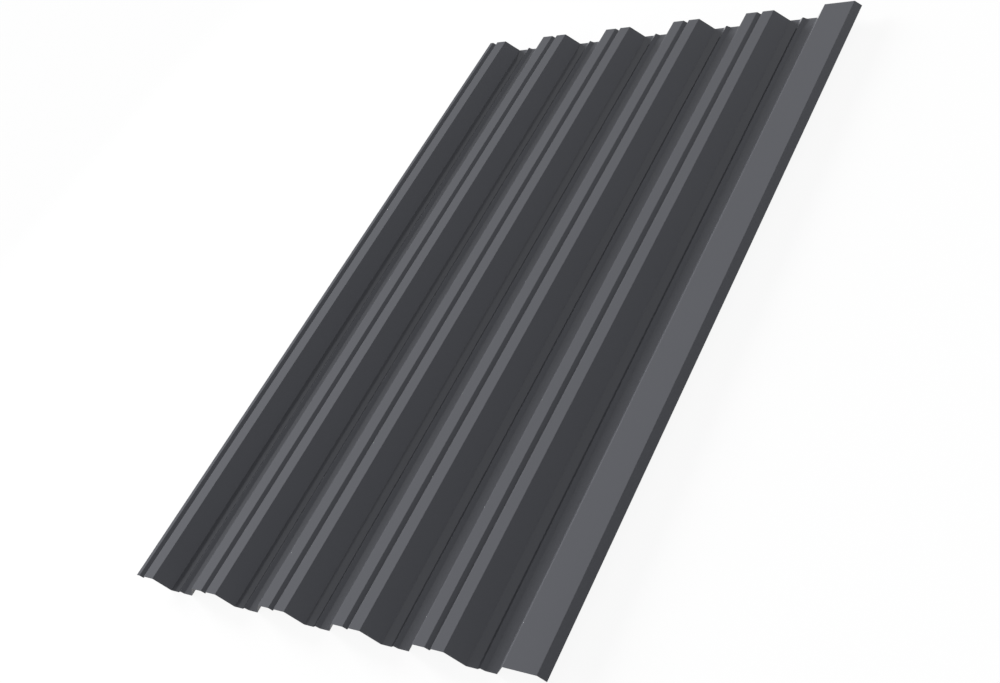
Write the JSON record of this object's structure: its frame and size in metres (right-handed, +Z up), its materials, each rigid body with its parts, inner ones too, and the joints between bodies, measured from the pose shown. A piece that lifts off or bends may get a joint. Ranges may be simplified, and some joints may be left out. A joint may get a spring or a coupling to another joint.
{
  "type": "trapezoidal profiled steel sheet",
  "caption": "Roll-formed steel roofing and cladding sheet with flat crests, stiffening grooves and ribs, and a lapping lip along one edge.",
  "frame": {"origin": "middle of the sheet's footprint, on the floor under its valleys", "axes": "+Y along the sheet's length and its crests, +X across it towards the lapping lip, +Z up out of the painted face"},
  "size_m": [1.0652, 1.75, 0.0357],
  "materials": {
    "coated_steel": "satin dark grey colour coat over galvanised steel"
  },
  "bodies": {
    "root": {"profiled_sheet": "coated_steel"}
  },
  "joints": []
}
